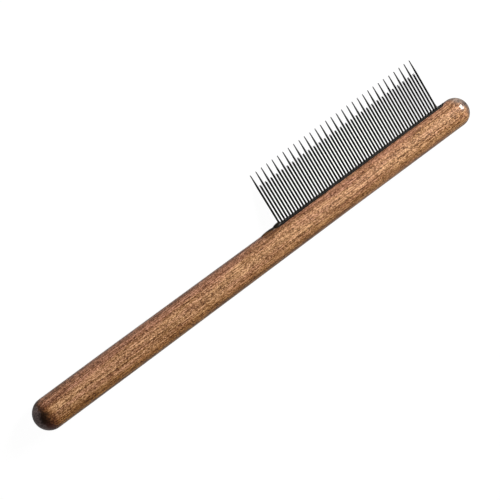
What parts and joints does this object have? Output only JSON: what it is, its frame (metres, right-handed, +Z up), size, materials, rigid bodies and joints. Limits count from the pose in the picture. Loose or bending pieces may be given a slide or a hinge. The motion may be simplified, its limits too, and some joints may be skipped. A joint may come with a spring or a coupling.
{
  "type": "pet grooming comb",
  "caption": "Slim turned wooden handle with a straight row of fine steel pins, alternately long and short, set in a black strip along its head end.",
  "frame": {"origin": "on the table, under the middle of the bounding box of the comb as it lies on its handle and on its long pins' tips", "axes": "+X along the handle's axis from the plain tail end to the head end that carries the pins; +Y to the side that the pins point to, sloping down to the table; +Z up from the table"},
  "size_m": [0.2, 0.032, 0.012],
  "materials": {
    "lacquered_wood": "brown stained, clear satin lacquer",
    "black_bar": "satin black",
    "adhesive": "cured dark epoxy",
    "pin_steel": "ground and polished"
  },
  "bodies": {
    "root": {"handle": "lacquered_wood", "pin_bar": "black_bar", "bar_adhesive": "adhesive", "long_pin_01": "pin_steel", "long_pin_02": "pin_steel", "long_pin_03": "pin_steel", "long_pin_04": "pin_steel", "long_pin_05": "pin_steel", "long_pin_06": "pin_steel", "long_pin_07": "pin_steel", "long_pin_08": "pin_steel", "long_pin_09": "pin_steel", "long_pin_10": "pin_steel", "long_pin_11": "pin_steel", "long_pin_12": "pin_steel", "long_pin_13": "pin_steel", "long_pin_14": "pin_steel", "long_pin_15": "pin_steel", "long_pin_16": "pin_steel", "long_pin_17": "pin_steel", "long_pin_18": "pin_steel", "long_pin_19": "pin_steel", "long_pin_20": "pin_steel", "long_pin_21": "pin_steel", "long_pin_22": "pin_steel", "long_pin_23": "pin_steel", "long_pin_24": "pin_steel", "long_pin_25": "pin_steel", "long_pin_26": "pin_steel", "long_pin_27": "pin_steel", "long_pin_28": "pin_steel", "long_pin_29": "pin_steel", "long_pin_30": "pin_steel", "long_pin_31": "pin_steel", "short_pins_01": "pin_steel", "short_pins_02": "pin_steel", "short_pins_03": "pin_steel", "short_pins_04": "pin_steel", "short_pins_05": "pin_steel", "short_pins_06": "pin_steel", "short_pins_07": "pin_steel", "short_pins_08": "pin_steel", "short_pins_09": "pin_steel", "short_pins_10": "pin_steel", "short_pins_11": "pin_steel", "short_pins_12": "pin_steel", "short_pins_13": "pin_steel", "short_pins_14": "pin_steel", "short_pins_15": "pin_steel"}
  },
  "joints": []
}
